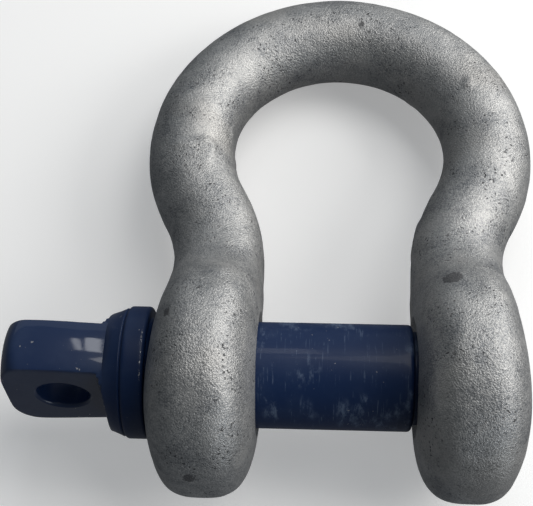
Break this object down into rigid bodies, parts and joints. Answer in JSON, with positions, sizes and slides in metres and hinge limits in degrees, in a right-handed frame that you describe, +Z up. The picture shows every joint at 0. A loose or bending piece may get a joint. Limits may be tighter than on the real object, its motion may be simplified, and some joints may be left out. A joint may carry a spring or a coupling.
{
  "type": "bow shackle",
  "caption": "Galvanised bow shackle with a flat-eyed screw pin that turns and draws out of two rounded ears to open the jaw.",
  "frame": {"origin": "on the pin's axis, midway between the two ears", "axes": "+X along the pin from its eye to its threaded end, +Y from the pin towards the crown, +Z up as the shackle lies on a bench on its ears and crown"},
  "size_m": [0.1138, 0.1268, 0.05],
  "materials": {
    "galvanised_steel": "hot-dip galvanised, dull with a fine grain",
    "painted_steel": "navy gloss paint, chipped at the edges"
  },
  "bodies": {
    "bow": {"bow": "galvanised_steel"},
    "pin_thread": {"pin_thread": "painted_steel"},
    "pin": {"screw_pin": "painted_steel"}
  },
  "joints": [
    {"name": "pin_draw", "type": "slide", "parent": "bow", "child": "pin_thread", "axis": [1, 0, 0], "range_m": [-0.079, 0]},
    {"name": "pin_turn", "type": "hinge", "parent": "pin_thread", "child": "pin", "pos_m": [0, 0, 0], "axis": [1, 0, 0], "continuous": true}
  ]
}
